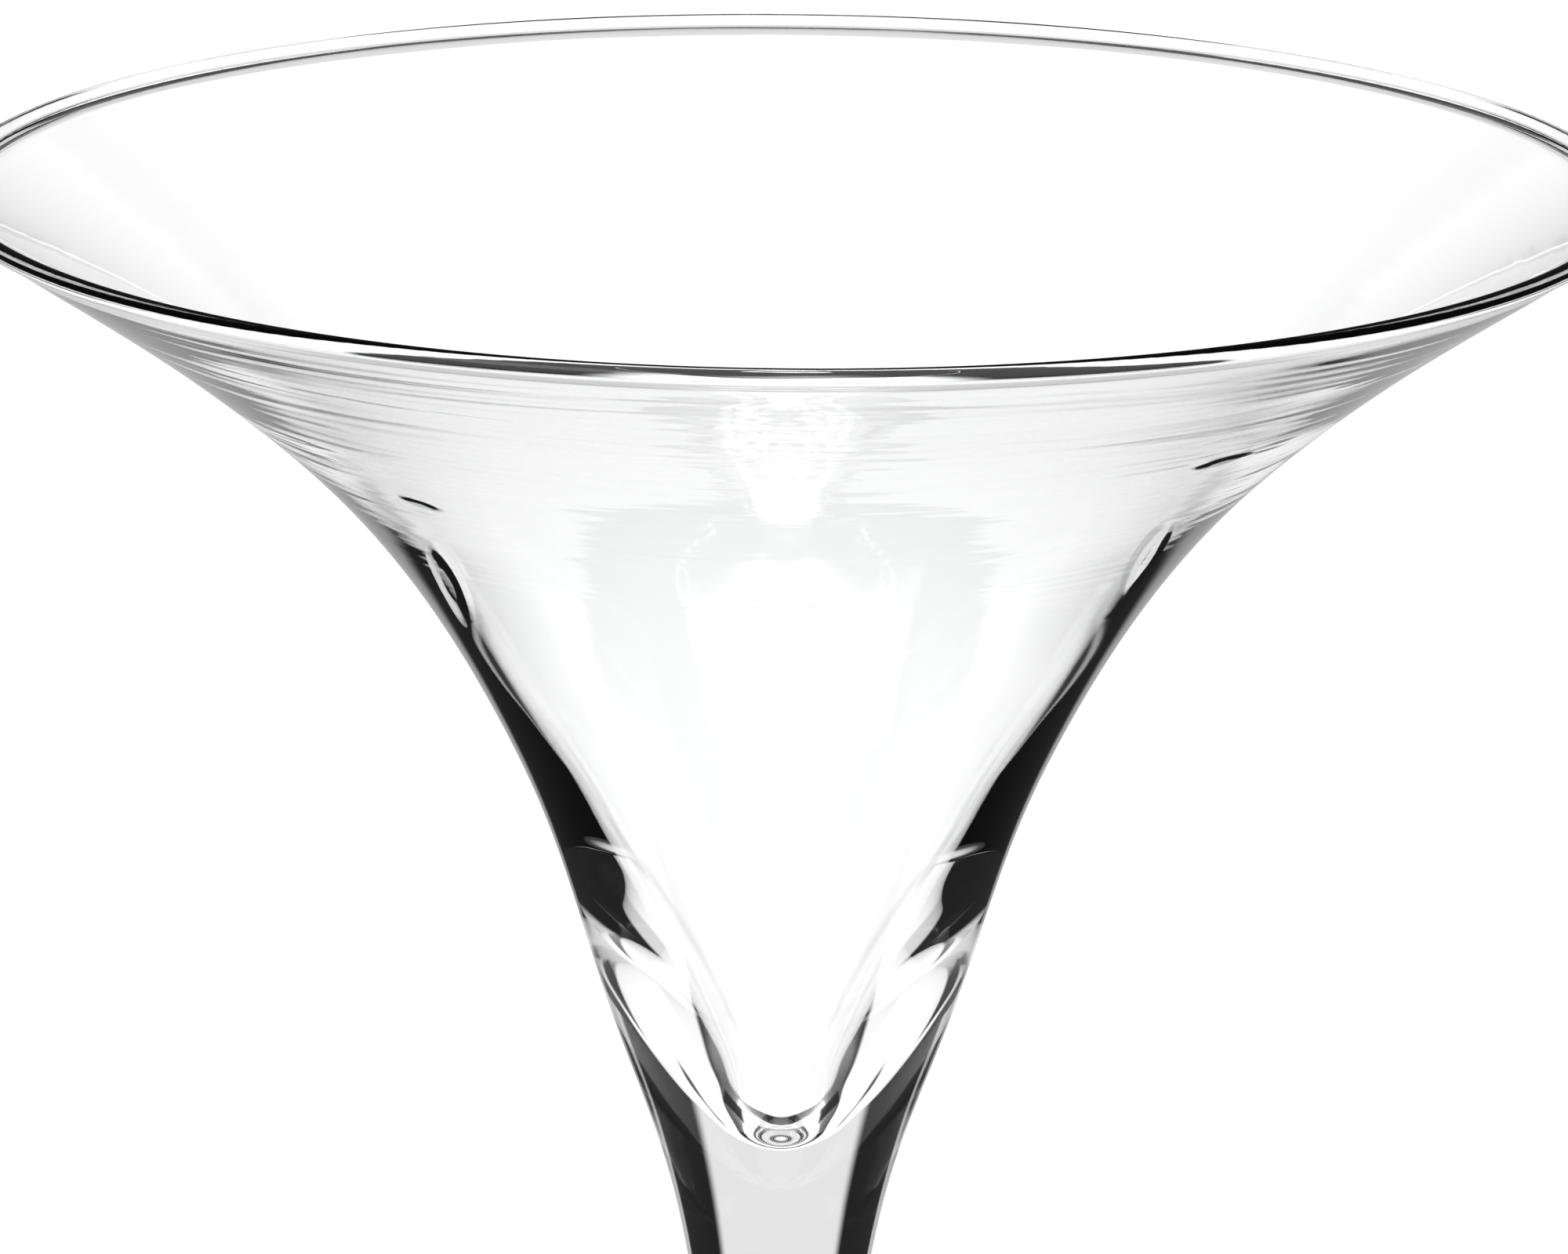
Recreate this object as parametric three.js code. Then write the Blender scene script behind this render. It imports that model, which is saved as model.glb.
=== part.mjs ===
// Stemmed martini glass: a trumpet bowl on a drawn solid stem and a round foot.
// Millimetres, +Z up, origin at the centre of the circle the foot rests on.
import * as THREE from "three";

// Driving dimensions
const RIM_DIAMETER = 120; // over the rounded rim
const RIM_BEAD_DIAMETER = 1.34; // the fire-polished edge
const RIM_BEAD_HEIGHT = 179.33; // centre of the bead above the table
const BEAD_START = THREE.MathUtils.degToRad(12); // where the bead leaves the outer wall, past square
const BEAD_END = THREE.MathUtils.degToRad(55); // where it leaves the inner wall
const RIM_WALL_TILT = THREE.MathUtils.degToRad(56.5); // from vertical
const CAVITY_TIP_HEIGHT = 110.3; // lowest point of the drinking cavity
const BOWL_STEM_SEAM_HEIGHT = 104;
const STEM_FOOT_SEAM_HEIGHT = 14;
const SEAM_GAP = 0.3; // left open between fused pieces
const FOOT_DIAMETER = 78;
const FOOT_EDGE_RADIUS = 0.9; // rounding of the foot's edge
const REST_RING_INNER_RADIUS = 30; // flat ring the glass stands on
const REST_RING_OUTER_RADIUS = 37.4;
const FOOT_HOLLOW_DEPTH = 0.8; // shallow dome under the foot
const AROUND = 48; // facets round the axis

// Wall just under the bead: out from the bead's centre square to the wall, and up along the wall.
const NECK_OUTER = [
  [0.59, -1.0],
  [0.58, -3.0],
];
const NECK_INNER = [
  [-0.2, -1.0],
  [-0.15, -1.6],
  [-0.15, -3.0],
];
// Outside of bowl, stem and foot, [radius, height], from the rim down.
const OUTER = [
  [54.35, 175.33],
  [46.97, 170.33],
  [39.21, 164.33],
  [31.77, 157.33],
  [25.52, 149.33],
  [20.82, 141.33],
  [17.13, 133.33],
  [14.44, 125.33],
  [11.83, 117.33],
  [8.91, 109.33],
  [7.43, 104],
  [6.5, 99.33],
  [5.55, 93],
  [4.95, 86],
  [4.6, 78],
  [4.4, 68],
  [4.3, 56],
  [4.35, 44],
  [4.6, 33],
  [5.1, 24],
  [5.8, 18],
  [6.75, 14],
  [8.6, 10.4],
  [11.6, 7.9],
  [16, 6.1],
  [22, 4.7],
  [29, 3.5],
  [35, 2.55],
];
// Inside of the bowl, [radius, height], from the rim down to the cavity's tip.
const INNER = [
  [52.95, 175.35],
  [45.33, 170.2],
  [37.4, 164],
  [30.11, 157],
  [24.41, 150],
  [21.09, 145],
  [18.64, 141],
  [16.32, 137],
  [14.18, 133],
  [12.4, 129.5],
  [10.89, 126.5],
  [9.61, 124],
  [8.29, 121.5],
  [6.92, 119],
  [5.5, 116.5],
  [4.37, 114.5],
  [3.3, 112.8],
  [2.25, 111.4],
];

// Natural cubic spline through points, run by chord length, sampled in n steps.
function smooth(points, n) {
  const t = [0];
  for (let i = 1; i < points.length; i++)
    t.push(
      t[i - 1] +
        Math.hypot(
          points[i][0] - points[i - 1][0],
          points[i][1] - points[i - 1][1],
        ),
    );
  const axes = [0, 1].map((k) => {
    const N = points.length;
    const h = t.slice(1).map((v, i) => v - t[i]);
    const m = new Array(N).fill(0);
    const c = new Array(N).fill(0);
    const d = new Array(N).fill(0);
    for (let i = 1; i < N - 1; i++) {
      const rhs =
        6 *
        ((points[i + 1][k] - points[i][k]) / h[i] -
          (points[i][k] - points[i - 1][k]) / h[i - 1]);
      const den = 2 * (h[i - 1] + h[i]) - h[i - 1] * c[i - 1];
      c[i] = h[i] / den;
      d[i] = (rhs - h[i - 1] * d[i - 1]) / den;
    }
    for (let i = N - 2; i > 0; i--) m[i] = d[i] - c[i] * m[i + 1];
    return (s) => {
      let i = 0;
      while (i < N - 2 && s > t[i + 1]) i++;
      const a = t[i + 1] - s;
      const b = s - t[i];
      return (
        (m[i] * a ** 3 + m[i + 1] * b ** 3) / (6 * h[i]) +
        (points[i][k] / h[i] - (m[i] * h[i]) / 6) * a +
        (points[i + 1][k] / h[i] - (m[i + 1] * h[i]) / 6) * b
      );
    };
  });
  const out = [];
  for (let j = 0; j <= n; j++) {
    const s = (t[t.length - 1] * j) / n;
    out.push([axes[0](s), axes[1](s)]);
  }
  return out;
}

// Point on a downward-running curve at a given height.
function atHeight(curve, z) {
  for (let i = 1; i < curve.length; i++)
    if (curve[i][1] <= z) {
      const [r0, z0] = curve[i - 1];
      const [r1, z1] = curve[i];
      return [r0 + ((r1 - r0) * (z - z0)) / (z1 - z0), z];
    }
  throw new Error("height below the curve");
}

// The part of a downward-running curve between two heights, ends included.
function between(curve, top, bottom) {
  return [
    atHeight(curve, top),
    ...curve.filter(([, z]) => z < top - 0.4 && z > bottom + 0.4),
    atHeight(curve, bottom),
  ];
}

// Drops points where the curve is nearly straight, to keep the facet count low.
function thin(curve, tolerance) {
  if (curve.length < 3) return curve;
  const [a, b] = [curve[0], curve[curve.length - 1]];
  const length = Math.hypot(b[0] - a[0], b[1] - a[1]);
  let worst = 0;
  let at = 0;
  for (let i = 1; i < curve.length - 1; i++) {
    const off =
      Math.abs(
        (b[0] - a[0]) * (curve[i][1] - a[1]) -
          (b[1] - a[1]) * (curve[i][0] - a[0]),
      ) / length;
    if (off > worst) [worst, at] = [off, i];
  }
  if (worst < tolerance) return [a, b];
  return [
    ...thin(curve.slice(0, at + 1), tolerance).slice(0, -1),
    ...thin(curve.slice(at), tolerance),
  ];
}

const BEAD_RADIUS = RIM_BEAD_DIAMETER / 2;
const BEAD_CENTRE = [RIM_DIAMETER / 2 - BEAD_RADIUS, RIM_BEAD_HEIGHT];
// A point near the rim, [radius, height], from u square to the wall, outwards, and v up along it.
function rimPoint([u, v]) {
  const c = Math.cos(RIM_WALL_TILT);
  const s = Math.sin(RIM_WALL_TILT);
  return [BEAD_CENTRE[0] + u * c + v * s, BEAD_CENTRE[1] - u * s + v * c];
}
// The rim's rounding, from the outside over the top to the inside.
const bead = [];
for (let i = 0; i <= 10; i++) {
  const a = -BEAD_START + ((Math.PI + BEAD_START + BEAD_END) * i) / 10;
  bead.push(rimPoint([BEAD_RADIUS * Math.cos(a), BEAD_RADIUS * Math.sin(a)]));
}
const outerCurve = [bead[0], ...NECK_OUTER.map(rimPoint), ...OUTER];
const innerCurve = [bead[bead.length - 1], ...NECK_INNER.map(rimPoint), ...INNER];

const outside = smooth(outerCurve, 900);
// The cavity wall runs on, mirrored, past the axis, so that its tip is rounded.
const inside = smooth(
  [
    ...innerCurve,
    [0, CAVITY_TIP_HEIGHT],
    ...[...innerCurve].reverse().map(([r, z]) => [-r, z]),
  ],
  1800,
);
const cavity = inside.slice(
  0,
  inside.findIndex(([r]) => r < 0.2),
);

function lathe(name, outline, colour, roughness) {
  const geometry = new THREE.LatheGeometry(
    outline.map(([r, z]) => new THREE.Vector2(Math.max(r, 0), z)),
    AROUND,
  );
  geometry.rotateX(Math.PI / 2);
  const mesh = new THREE.Mesh(
    geometry,
    new THREE.MeshStandardMaterial({ color: colour, roughness, metalness: 0 }),
  );
  mesh.name = name;
  return mesh;
}

const group = new THREE.Group();
group.name = "martini_glass";

// Bowl: up the outside from the seam, over the rim and down the cavity.
const bowlBottom = BOWL_STEM_SEAM_HEIGHT + SEAM_GAP / 2;
const bowlOuter = thin(between(outside, bead[0][1], bowlBottom), 0.04);
const bowlInner = thin([...cavity, [0, CAVITY_TIP_HEIGHT]], 0.05);
group.add(
  lathe(
    "bowl",
    [[0, bowlBottom], ...bowlOuter.reverse(), ...bead.slice(1, -1), ...bowlInner],
    0xf4f7f7,
    0.03,
  ),
);

// Stem: a solid between the two seams.
const stemTop = BOWL_STEM_SEAM_HEIGHT - SEAM_GAP / 2;
const stemBottom = STEM_FOOT_SEAM_HEIGHT + SEAM_GAP / 2;
const stemOuter = thin(between(outside, stemTop, stemBottom), 0.05);
group.add(
  lathe(
    "stem",
    [[0, stemBottom], ...stemOuter.reverse(), [0, stemTop]],
    0xf2f6f6,
    0.03,
  ),
);

// Foot: low cone, rounded edge, flat resting ring and a shallow dome underneath.
const footTop = STEM_FOOT_SEAM_HEIGHT - SEAM_GAP / 2;
const footOuter = thin(
  between(outside, footTop, OUTER[OUTER.length - 1][1]),
  0.05,
);
const EDGE_CENTRE = [FOOT_DIAMETER / 2 - FOOT_EDGE_RADIUS, 1.05];
const edge = [];
for (let i = 0; i <= 6; i++) {
  const a = THREE.MathUtils.degToRad(-78 + (158 * i) / 6);
  edge.push([
    EDGE_CENTRE[0] + FOOT_EDGE_RADIUS * Math.cos(a),
    EDGE_CENTRE[1] + FOOT_EDGE_RADIUS * Math.sin(a),
  ]);
}
const under = [];
for (let i = 0; i <= 5; i++) {
  const r = (REST_RING_INNER_RADIUS * i) / 5;
  under.push([
    r,
    FOOT_HOLLOW_DEPTH * (1 - (r / REST_RING_INNER_RADIUS) ** 2),
  ]);
}
group.add(
  lathe(
    "foot",
    [
      ...under,
      [REST_RING_OUTER_RADIUS, 0],
      ...edge,
      ...footOuter.reverse(),
      [0, footTop],
    ],
    0xf0f5f4,
    0.03,
  ),
);

export default group;
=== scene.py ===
"""Looks of the martini glass: a trumpet bowl on a drawn stem and a round foot, all clear glass."""

import math

import bpy
import numpy as np
from mathutils import Matrix, Vector


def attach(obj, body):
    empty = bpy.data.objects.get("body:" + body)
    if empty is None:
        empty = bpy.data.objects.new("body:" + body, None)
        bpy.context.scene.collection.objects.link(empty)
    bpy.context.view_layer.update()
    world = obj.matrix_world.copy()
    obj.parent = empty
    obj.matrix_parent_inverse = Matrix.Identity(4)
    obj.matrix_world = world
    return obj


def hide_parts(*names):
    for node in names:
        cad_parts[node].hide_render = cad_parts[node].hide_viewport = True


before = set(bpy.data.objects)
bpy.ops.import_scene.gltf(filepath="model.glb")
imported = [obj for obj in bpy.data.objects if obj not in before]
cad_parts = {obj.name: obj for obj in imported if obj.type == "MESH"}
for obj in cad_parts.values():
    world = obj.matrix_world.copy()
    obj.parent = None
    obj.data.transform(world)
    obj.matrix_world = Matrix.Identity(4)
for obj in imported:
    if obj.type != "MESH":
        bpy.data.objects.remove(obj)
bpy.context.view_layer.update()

# ---------------------------------------------------------------- dimensions, mm (the same as the CAD)
RIM_DIAMETER = 120.0
RIM_BEAD_DIAMETER = 1.34
RIM_BEAD_HEIGHT = 179.33
BEAD_START, BEAD_END = 12.0, 55.0  # where the bead leaves the outer and the inner wall, degrees past square
RIM_WALL_TILT = math.radians(56.5)
CAVITY_TIP_HEIGHT = 110.3
BOWL_STEM_SEAM_HEIGHT = 104.0
STEM_FOOT_SEAM_HEIGHT = 14.0
FOOT_DIAMETER = 78.0
FOOT_EDGE_RADIUS = 0.9
REST_RING_INNER_RADIUS = 30.0
REST_RING_OUTER_RADIUS = 37.4
FOOT_HOLLOW_DEPTH = 0.8
NECK_OUTER = [[0.59, -1.0], [0.58, -3.0]]  # wall just under the bead: out from the mid-line, and up along the wall
NECK_INNER = [[-0.20, -1.0], [-0.15, -1.6], [-0.15, -3.0]]
AROUND = 192

# radius and height of the outside, rim to foot
OUTER = [
    [54.35, 175.33], [46.97, 170.33], [39.21, 164.33], [31.77, 157.33], [25.52, 149.33], [20.82, 141.33],
    [17.13, 133.33], [14.44, 125.33], [11.83, 117.33], [8.91, 109.33], [7.43, 104], [6.5, 99.33],
    [5.55, 93], [4.95, 86], [4.6, 78], [4.4, 68], [4.3, 56], [4.35, 44],
    [4.6, 33], [5.1, 24], [5.8, 18], [6.75, 14], [8.6, 10.4], [11.6, 7.9],
    [16, 6.1], [22, 4.7], [29, 3.5], [35, 2.55],
]
# radius and height of the cavity wall, rim to tip
INNER = [
    [52.95, 175.35], [45.33, 170.2], [37.4, 164], [30.11, 157], [24.41, 150], [21.09, 145],
    [18.64, 141], [16.32, 137], [14.18, 133], [12.4, 129.5], [10.89, 126.5], [9.61, 124],
    [8.29, 121.5], [6.92, 119], [5.5, 116.5], [4.37, 114.5], [3.3, 112.8], [2.25, 111.4],
]


def spline(points, step):
    """Natural cubic spline by chord length, sampled about every step mm."""
    p = np.array(points, float)
    t = np.concatenate([[0], np.cumsum(np.hypot(*np.diff(p, axis=0).T))])
    n, h = len(p), np.diff(t)
    a = np.zeros((n, n))
    b = np.zeros((n, 2))
    a[0, 0] = a[-1, -1] = 1
    for i in range(1, n - 1):
        a[i, i - 1], a[i, i], a[i, i + 1] = h[i - 1], 2 * (h[i - 1] + h[i]), h[i]
        b[i] = 6 * ((p[i + 1] - p[i]) / h[i] - (p[i] - p[i - 1]) / h[i - 1])
    m = np.linalg.solve(a, b)
    s = np.linspace(0, t[-1], int(math.ceil(t[-1] / step)) + 1)
    i = np.clip(np.searchsorted(t, s, side="right") - 1, 0, n - 2)
    u, v, hi = (t[i + 1] - s)[:, None], (s - t[i])[:, None], h[i][:, None]
    return (
        (m[i] * u**3 + m[i + 1] * v**3) / (6 * hi)
        + (p[i] / hi - m[i] * hi / 6) * u
        + (p[i + 1] / hi - m[i + 1] * hi / 6) * v
    )


def rim_point(u, v):
    """A point near the rim: u mm square to the wall, outwards, and v mm up along it, from the bead's centre."""
    c, s = math.cos(RIM_WALL_TILT), math.sin(RIM_WALL_TILT)
    return [RIM_DIAMETER / 2 - RIM_BEAD_DIAMETER / 2 + u * c + v * s, RIM_BEAD_HEIGHT - u * s + v * c]


def outline():
    """The whole glass as one profile [radius, height] from under the foot, up the outside, over the rim and down the cavity, and where each stretch starts."""
    bead_r = RIM_BEAD_DIAMETER / 2
    turn = np.radians(np.linspace(-BEAD_START, 180 + BEAD_END, 34))
    bead = np.array([rim_point(bead_r * math.cos(t), bead_r * math.sin(t)) for t in turn])
    outer = spline([bead[0].tolist()] + [rim_point(u, v) for u, v in NECK_OUTER] + OUTER, 0.4)[::-1]
    start = [bead[-1].tolist()] + [rim_point(u, v) for u, v in NECK_INNER] + INNER
    mirrored = [[-r, z] for r, z in reversed(start)]
    inner = spline(start + [[0, CAVITY_TIP_HEIGHT]] + mirrored, 0.4)
    inner = inner[inner[:, 0] > 0.12]
    bead = bead[1:-1]
    r = np.linspace(0.12, REST_RING_INNER_RADIUS, 40)
    under = np.stack([r, FOOT_HOLLOW_DEPTH * (1 - (r / REST_RING_INNER_RADIUS) ** 2)], -1)
    ring = np.stack([np.linspace(REST_RING_INNER_RADIUS, REST_RING_OUTER_RADIUS, 9)[1:], np.zeros(8)], -1)
    edge_c = np.array([FOOT_DIAMETER / 2 - FOOT_EDGE_RADIUS, 1.05])
    ang = np.radians(np.linspace(-78, 80, 22))
    edge = edge_c + FOOT_EDGE_RADIUS * np.stack([np.cos(ang), np.sin(ang)], -1)
    p = np.vstack([under, ring, edge, outer, bead, inner])
    n_outer = len(under) + len(ring) + len(edge)
    return p, n_outer, n_outer + len(outer), n_outer + len(outer) + len(bead)


profile, i_outer, i_bead, i_inner = outline()
rings = len(profile)
theta = np.arange(AROUND) * 2 * math.pi / AROUND


def hand_made(p):
    """Hand-blown irregularity of the cavity, in mm: the surface drifts by a few hundredths and the cavity sits a little off the axis."""
    r, z = p[:, 0:1], p[:, 1:2]
    inside = (np.arange(rings) >= i_inner)[:, None].astype(float)
    depth = np.clip((RIM_BEAD_HEIGHT - z) / 70, 0, 1)
    wave = (
        0.012 * np.sin(2 * theta + 0.9 + 2.2 * depth)
        + 0.008 * np.sin(3 * theta - 1.3 + 5.0 * depth)
        + 0.004 * np.sin(5 * theta + 0.4 - 9.0 * depth)
    ) * np.sin(math.pi * np.clip(depth * 1.1, 0, 1)) ** 0.7
    off = 0.03 * depth**1.5
    dr = inside * (wave * np.clip(r / 6, 0, 1))
    rr = r + dr
    x = rr * np.cos(theta) + inside * off
    y = rr * np.sin(theta)
    return np.stack([x, y, np.broadcast_to(z, x.shape)], -1)


grid = hand_made(profile) / 1000.0  # rings x around x 3, metres
# One set of smooth normals for the whole glass, so that the fused seams can't be seen.
along = np.zeros_like(grid)
along[1:-1] = grid[2:] - grid[:-2]
along[0], along[-1] = grid[1] - grid[0], grid[-1] - grid[-2]
round_ = np.roll(grid, -1, 1) - np.roll(grid, 1, 1)
normal = np.cross(round_, along)
normal /= np.linalg.norm(normal, axis=-1, keepdims=True)
# on the flat resting ring and its neighbours the profile turns sharply, which the difference above already softens


def ring_at(height):
    """Index of the outside ring nearest to a height."""
    z = profile[i_outer:i_bead, 1]
    return i_outer + int(np.abs(z - height).argmin())


cut_foot, cut_stem = ring_at(STEM_FOOT_SEAM_HEIGHT), ring_at(BOWL_STEM_SEAM_HEIGHT)


def shell(name, first, last, close_first=False, close_last=False):
    """A piece of the glass between two rings, with its own mesh, joined to its neighbours ring to ring."""
    n = last - first + 1
    verts = grid[first : last + 1].reshape(-1, 3).tolist()
    normals = normal[first : last + 1].reshape(-1, 3).tolist()
    faces = []
    for j in range(n - 1):
        a, b = j * AROUND, (j + 1) * AROUND
        for k in range(AROUND):
            k2 = (k + 1) % AROUND
            faces.append((a + k, a + k2, b + k2, b + k))
    if close_first:
        c = grid[first].mean(0)
        c[2] = grid[first, 0, 2]
        verts.append(c.tolist())
        normals.append([0, 0, -1])
        faces += [((k + 1) % AROUND, k, len(verts) - 1) for k in range(AROUND)]
    if close_last:
        base = (n - 1) * AROUND
        c = grid[last].mean(0)
        verts.append(c.tolist())
        normals.append([0, 0, 1])
        faces += [(base + k, base + (k + 1) % AROUND, len(verts) - 1) for k in range(AROUND)]
    mesh = bpy.data.meshes.new(name)
    mesh.from_pydata(verts, [], faces)
    mesh.polygons.foreach_set("use_smooth", [True] * len(mesh.polygons))
    mesh.update()
    mesh.normals_split_custom_set_from_vertices(normals)
    obj = bpy.data.objects.new(name, mesh)
    bpy.context.scene.collection.objects.link(obj)
    return obj


foot = shell("glass_foot", 0, cut_foot, close_first=True)
stem = shell("glass_stem", cut_foot, cut_stem)
bowl = shell("glass_bowl", cut_stem, rings - 1, close_last=True)


# ---------------------------------------------------------------- materials
def node(nt, kind, **inputs):
    n = nt.nodes.new(kind)
    for k, v in inputs.items():
        if hasattr(n, k):
            setattr(n, k, v)
        else:
            n.inputs[k.replace("_", " ")].default_value = v
    return n


def glass(name, tint, ripple_scale, ripple_height, haze, stretch, rings=None, cords_in_wall=()):
    """Clear blown glass: faint drawing ripples in the surface, a trace of haze from handling and a barely visible tint
    that varies slowly from place to place. rings gives the heights between which turning marks run round the wall, and
    how deep they are. cords_in_wall lists raised cords and drops: centre, long direction, outward direction, half
    length, half width and height, mm.
    """
    mat = bpy.data.materials.new(name)
    mat.use_nodes = True
    nt = mat.node_tree
    nt.nodes.clear()
    out = nt.nodes.new("ShaderNodeOutputMaterial")
    bsdf = nt.nodes.new("ShaderNodeBsdfPrincipled")
    bsdf.inputs["IOR"].default_value = 1.52
    bsdf.inputs["Metallic"].default_value = 0.0
    bsdf.inputs["Transmission Weight"].default_value = 1.0
    nt.links.new(bsdf.outputs[0], out.inputs[0])
    coord = nt.nodes.new("ShaderNodeTexCoord")
    mapping = nt.nodes.new("ShaderNodeMapping")
    mapping.inputs["Scale"].default_value = stretch
    nt.links.new(coord.outputs["Object"], mapping.inputs[0])

    # ripples left by blowing and drawing: a slow swell and finer cords along the axis
    swell = node(nt, "ShaderNodeTexNoise", Scale=ripple_scale, Detail=2.0, Roughness=0.45)
    cords = node(nt, "ShaderNodeTexNoise", Scale=ripple_scale * 4.0, Detail=1.0, Roughness=0.4)
    nt.links.new(mapping.outputs[0], swell.inputs["Vector"])
    nt.links.new(mapping.outputs[0], cords.inputs["Vector"])
    b1 = node(nt, "ShaderNodeBump", Strength=1.0, Distance=ripple_height)
    b2 = node(nt, "ShaderNodeBump", Strength=1.0, Distance=ripple_height * 0.12)
    nt.links.new(swell.outputs[0], b1.inputs["Height"])
    nt.links.new(cords.outputs[0], b2.inputs["Height"])
    nt.links.new(b1.outputs[0], b2.inputs["Normal"])
    last = b2
    if rings:
        # turning marks: long shallow streaks that run round the wall and fade out below
        low, high, depth = rings
        run = nt.nodes.new("ShaderNodeMapping")
        run.inputs["Scale"].default_value = (14.0, 14.0, 330.0)
        nt.links.new(coord.outputs["Object"], run.inputs[0])
        mark = node(nt, "ShaderNodeTexNoise", Scale=1.0, Detail=2.5, Roughness=0.55, Distortion=0.6)
        nt.links.new(run.outputs[0], mark.inputs["Vector"])
        split = nt.nodes.new("ShaderNodeSeparateXYZ")
        nt.links.new(coord.outputs["Object"], split.inputs[0])
        fade = nt.nodes.new("ShaderNodeMapRange")
        fade.interpolation_type = "SMOOTHSTEP"
        fade.inputs["From Min"].default_value = low
        fade.inputs["From Max"].default_value = high
        nt.links.new(split.outputs[2], fade.inputs[0])
        faded = nt.nodes.new("ShaderNodeMath")
        faded.operation = "MULTIPLY"
        nt.links.new(mark.outputs[0], faded.inputs[0])
        nt.links.new(fade.outputs[0], faded.inputs[1])
        b3 = node(nt, "ShaderNodeBump", Strength=1.0, Distance=depth)
        nt.links.new(faded.outputs[0], b3.inputs["Height"])
        nt.links.new(b2.outputs[0], b3.inputs["Normal"])
        last = b3
    for centre, long_way, outward, half_length, half_width, height in cords_in_wall:
        # an ellipsoidal patch of the surface, raised with soft edges
        n_out = Vector(outward).normalized()
        t_long = Vector(long_way)
        t_long = (t_long - t_long.dot(n_out) * n_out).normalized()
        t_wide = n_out.cross(t_long)
        away = nt.nodes.new("ShaderNodeVectorMath")
        away.operation = "SUBTRACT"
        nt.links.new(coord.outputs["Object"], away.inputs[0])
        away.inputs[1].default_value = [c / 1000 for c in centre]
        parts = nt.nodes.new("ShaderNodeCombineXYZ")
        for i, (way, half) in enumerate(((t_long, half_length), (t_wide, half_width), (n_out, 0.9))):
            dot = nt.nodes.new("ShaderNodeVectorMath")
            dot.operation = "DOT_PRODUCT"
            nt.links.new(away.outputs[0], dot.inputs[0])
            dot.inputs[1].default_value = way * (1000 / half)
            nt.links.new(dot.outputs["Value"], parts.inputs[i])
        size = nt.nodes.new("ShaderNodeVectorMath")
        size.operation = "LENGTH"
        nt.links.new(parts.outputs[0], size.inputs[0])
        dome = nt.nodes.new("ShaderNodeMapRange")
        dome.interpolation_type = "SMOOTHSTEP"
        dome.inputs["From Min"].default_value = 1.0
        dome.inputs["From Max"].default_value = 0.35
        nt.links.new(size.outputs["Value"], dome.inputs[0])
        raised = node(nt, "ShaderNodeBump", Strength=1.0, Distance=height / 1000)
        nt.links.new(dome.outputs[0], raised.inputs["Height"])
        nt.links.new(last.outputs[0], raised.inputs["Normal"])
        last = raised
    nt.links.new(last.outputs[0], bsdf.inputs["Normal"])

    # haze: soft cloudy wipe marks, nearly none over most of the surface
    cloud = node(nt, "ShaderNodeTexNoise", Scale=38.0, Detail=4.0, Roughness=0.55)
    nt.links.new(coord.outputs["Object"], cloud.inputs["Vector"])
    wipe = nt.nodes.new("ShaderNodeMapRange")
    wipe.inputs["From Min"].default_value = 0.52
    wipe.inputs["From Max"].default_value = 0.85
    wipe.inputs["To Min"].default_value = 0.0
    wipe.inputs["To Max"].default_value = haze
    nt.links.new(cloud.outputs[0], wipe.inputs[0])
    nt.links.new(wipe.outputs[0], bsdf.inputs["Roughness"])

    # tint: two near-white glass colours, mixed slowly
    shade = node(nt, "ShaderNodeTexNoise", Scale=9.0, Detail=1.0)
    nt.links.new(coord.outputs["Object"], shade.inputs["Vector"])
    ramp = nt.nodes.new("ShaderNodeValToRGB")
    ramp.color_ramp.elements[0].position = 0.35
    ramp.color_ramp.elements[0].color = (*tint, 1)
    ramp.color_ramp.elements[1].position = 0.65
    ramp.color_ramp.elements[1].color = (0.998, 0.999, 0.999, 1)
    nt.links.new(shade.outputs[0], ramp.inputs[0])
    nt.links.new(ramp.outputs[0], bsdf.inputs["Base Color"])
    return mat


CORDS = (
    ((-23.67, -17.10, 154.35), (0.19, 0.69, -0.70), (-0.631, -0.456, -0.628), 5.8, 1.5, 0.09),
    ((-25.42, -26.76, 162.35), (0.725, -0.689, 0.0), (-0.457, -0.482, -0.747), 2.6, 1.3, 0.05),
    ((25.35, -18.82, 157.11), (-0.19, 0.69, -0.70), (0.594, -0.441, -0.673), 5.6, 1.5, -0.08),
    ((30.12, -29.12, 166.52), (0.69, 0.72, 0.0), (0.446, -0.431, -0.784), 3.4, 1.3, 0.05),
)
bowl.data.materials.append(glass("bowl_glass", (0.990, 0.994, 0.993), 26.0, 0.00007, 0.03, (1, 1, 0.45), (0.150, 0.163, 0.00005), CORDS))
stem.data.materials.append(glass("stem_glass", (0.986, 0.992, 0.991), 60.0, 0.00003, 0.02, (1, 1, 0.12)))
foot.data.materials.append(glass("foot_glass", (0.984, 0.991, 0.989), 34.0, 0.00006, 0.03, (1, 1, 1)))

for obj, cad_node, slot in ((bowl, "bowl", "bowl_glass"), (stem, "stem", "stem_glass"), (foot, "foot", "foot_glass")):
    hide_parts(cad_node)
    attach(obj, "root")

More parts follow.
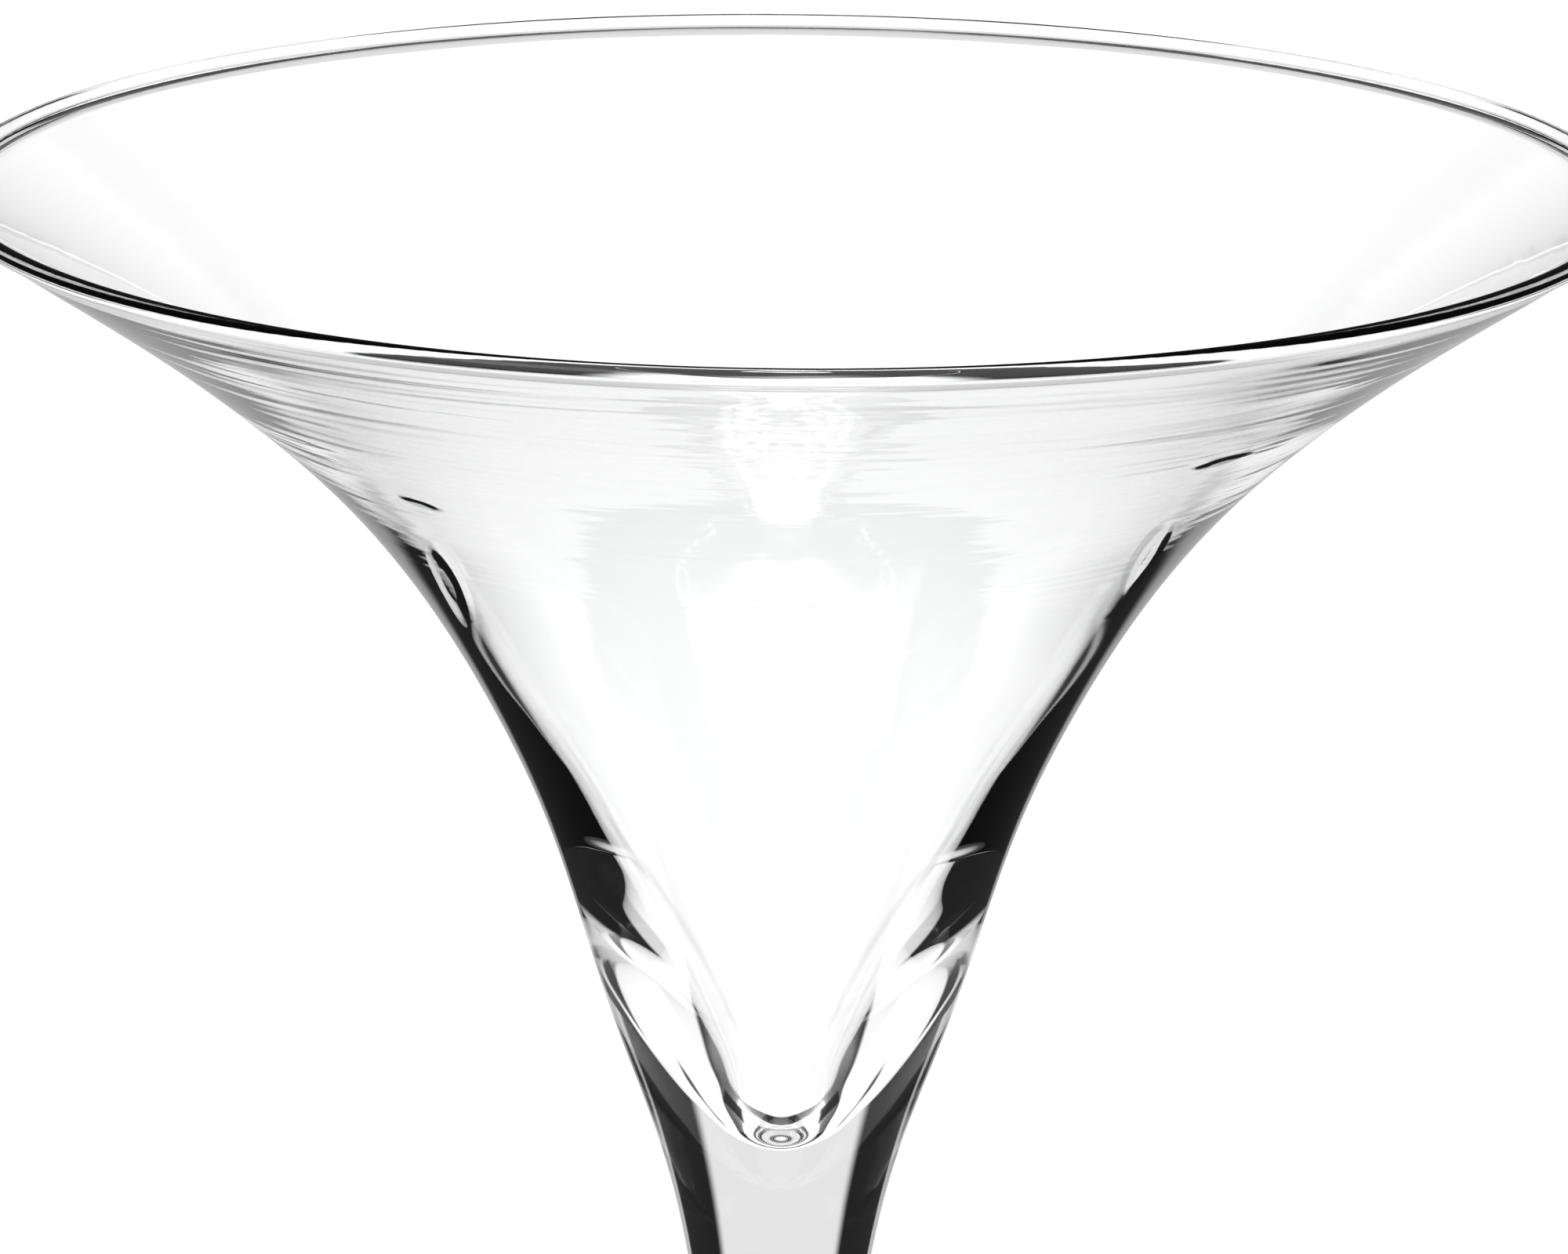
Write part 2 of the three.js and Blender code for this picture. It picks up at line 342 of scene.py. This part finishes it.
# ---------------------------------------------------------------- floor
FLOOR_LIGHT = 1.22
floor_mesh = bpy.data.meshes.new("floor")
n = 96
floor_mesh.from_pydata(
    [(6 * math.cos(2 * math.pi * k / n), 6 * math.sin(2 * math.pi * k / n), -0.00004) for k in range(n)],
    [],
    [tuple(range(n))],
)
floor = bpy.data.objects.new("floor", floor_mesh)
bpy.context.scene.collection.objects.link(floor)
floor_mat = bpy.data.materials.new("floor_matt_white")
floor_mat.use_nodes = True
fb = floor_mat.node_tree.nodes["Principled BSDF"]
fb.inputs["Base Color"].default_value = (0.86, 0.86, 0.86, 1)
fb.inputs["Roughness"].default_value = 1.0
fb.inputs["Specular IOR Level"].default_value = 0.0
floor.data.materials.append(floor_mat)
floor.visible_glossy = False
floor.visible_transmission = False

# ---------------------------------------------------------------- studio: a white room with dark panels between its four white walls
WALL_LIGHT, PANEL_LIGHT = 0.85, 0.012
PANEL_START, PANEL_SOFT = 24.5, 5.0
HORIZON, TABLE_DARK_TO = -4.6, -11.0
world = bpy.data.worlds.new("studio")
bpy.context.scene.world = world
world.use_nodes = True
wt = world.node_tree
wt.nodes.clear()
w_out = wt.nodes.new("ShaderNodeOutputWorld")
w_bg = wt.nodes.new("ShaderNodeBackground")
wt.links.new(w_bg.outputs[0], w_out.inputs[0])
w_coord = wt.nodes.new("ShaderNodeTexCoord")
w_sep = wt.nodes.new("ShaderNodeSeparateXYZ")
wt.links.new(w_coord.outputs["Generated"], w_sep.inputs[0])


def math_node(op, a, b=None, c=None, clamp=False):
    m = wt.nodes.new("ShaderNodeMath")
    m.operation = op
    m.use_clamp = clamp
    for i, v in enumerate((a, b, c)):
        if v is None:
            continue
        if isinstance(v, (int, float)):
            m.inputs[i].default_value = v
        else:
            wt.links.new(v, m.inputs[i])
    return m.outputs[0]


def ramp01(value, lo, hi, a=0.0, b=1.0):
    m = wt.nodes.new("ShaderNodeMapRange")
    m.interpolation_type = "SMOOTHSTEP"
    wt.links.new(value, m.inputs[0])
    m.inputs[1].default_value, m.inputs[2].default_value = lo, hi
    m.inputs[3].default_value, m.inputs[4].default_value = a, b
    return m.outputs[0]


deg = 57.29578
az = math_node("MULTIPLY", math_node("ARCTAN2", w_sep.outputs[0], w_sep.outputs[1]), deg)  # 0 straight behind the glass
el = math_node("MULTIPLY", math_node("ARCSINE", w_sep.outputs[2]), deg)
# angle to the nearest wall centre: 0 at 0, 90, 180 and 270 degrees, 45 in the corners
fold = math_node("ABSOLUTE", math_node("SUBTRACT", math_node("FLOORED_MODULO", math_node("ADD", az, 45.0), 90.0), 45.0))
panel = ramp01(fold, PANEL_START, PANEL_START + PANEL_SOFT)


def mix(t, a, b):
    return math_node("ADD", math_node("MULTIPLY", math_node("SUBTRACT", 1.0, t), a), math_node("MULTIPLY", t, b))


wall = mix(panel, WALL_LIGHT, PANEL_LIGHT)
through = mix(ramp01(el, 24.0, 30.0), wall, 0.08)
table = mix(math_node("MULTIPLY", panel, ramp01(el, TABLE_DARK_TO, TABLE_DARK_TO + 5.0)), FLOOR_LIGHT, 0.02)
# eight narrow dark cards lying between the four walls and the four corners
cards = ramp01(math_node("ABSOLUTE", math_node("SUBTRACT", math_node("FLOORED_MODULO", math_node("ADD", az, 22.5), 45.0), 22.5)), 13.0, 17.0)
table = mix(math_node("MULTIPLY", cards, math_node("MULTIPLY", ramp01(el, -11.0, -13.0), ramp01(el, -36.0, -32.0))), table, 0.06)
# the shade on the table close round the foot
table = mix(math_node("MULTIPLY", ramp01(el, -57.5, -59.5), ramp01(el, -80.0, -75.0)), table, 0.03)
through = mix(ramp01(el, HORIZON - 2.5, HORIZON), table, through)

# what the surface mirrors: a dim room with one broad soft window in front on the left and a strip on the right
win_a = math_node("MULTIPLY", ramp01(math_node("ABSOLUTE", math_node("SUBTRACT", az, -140.0)), 26.0, 22.0), ramp01(math_node("ABSOLUTE", math_node("SUBTRACT", el, 28.0)), 20.0, 15.0))
ahead = math_node("MULTIPLY", ramp01(math_node("ABSOLUTE", az), 20.0, 14.0), math_node("MULTIPLY", ramp01(el, -37.0, -31.0), ramp01(el, -6.0, -9.0)))
mirrored = math_node("ADD", math_node("ADD", math_node("MULTIPLY", win_a, 1.6), math_node("MULTIPLY", ahead, 0.55)), 0.05)

path = wt.nodes.new("ShaderNodeLightPath")


def pick(flag, yes, no):
    return math_node("ADD", math_node("MULTIPLY", flag, yes), math_node("MULTIPLY", math_node("SUBTRACT", 1.0, flag), no))


light = pick(path.outputs["Is Transmission Ray"], through, mirrored)
light = pick(path.outputs["Is Diffuse Ray"], 1.42, light)
light = pick(path.outputs["Is Camera Ray"], FLOOR_LIGHT, light)
wt.links.new(light, w_bg.inputs[1])
w_bg.inputs[0].default_value = (1, 1, 1, 1)

scene = bpy.context.scene
scene.view_settings.view_transform = "Standard"
scene.view_settings.look = "None"
scene.cycles.max_bounces = 12
scene.cycles.transmission_bounces = 12
scene.cycles.glossy_bounces = 12
scene.cycles.diffuse_bounces = 3
scene.cycles.transparent_max_bounces = 8
scene.cycles.caustics_reflective = True
scene.cycles.caustics_refractive = True
scene.cycles.blur_glossy = 0.0
scene.cycles.sample_clamp_indirect = 6.0
scene.cycles.use_denoising = True

# ---------------------------------------------------------------- camera
cam_data = bpy.data.cameras.new("camera")
cam_data.sensor_fit = "HORIZONTAL"
cam_data.sensor_width = 36.0
cam_data.lens = 285.0
cam_data.clip_start, cam_data.clip_end = 0.05, 40.0
cam = bpy.data.objects.new("camera", cam_data)
bpy.context.scene.collection.objects.link(cam)
ELEVATION, ROLL, DISTANCE = math.radians(14.257), math.radians(0.521), 0.88995
AIM = Vector((-0.00008, 0, 0.1472))
forward = Vector((0, math.cos(ELEVATION), -math.sin(ELEVATION)))
up0 = Vector((0, math.sin(ELEVATION), math.cos(ELEVATION)))
right0 = Vector((1, 0, 0))
right = math.cos(ROLL) * right0 + math.sin(ROLL) * up0
up = -math.sin(ROLL) * right0 + math.cos(ROLL) * up0
rot = Matrix((right, up, -forward)).transposed()
cam.matrix_world = Matrix.Translation(AIM - forward * DISTANCE) @ rot.to_4x4()
scene.camera = cam
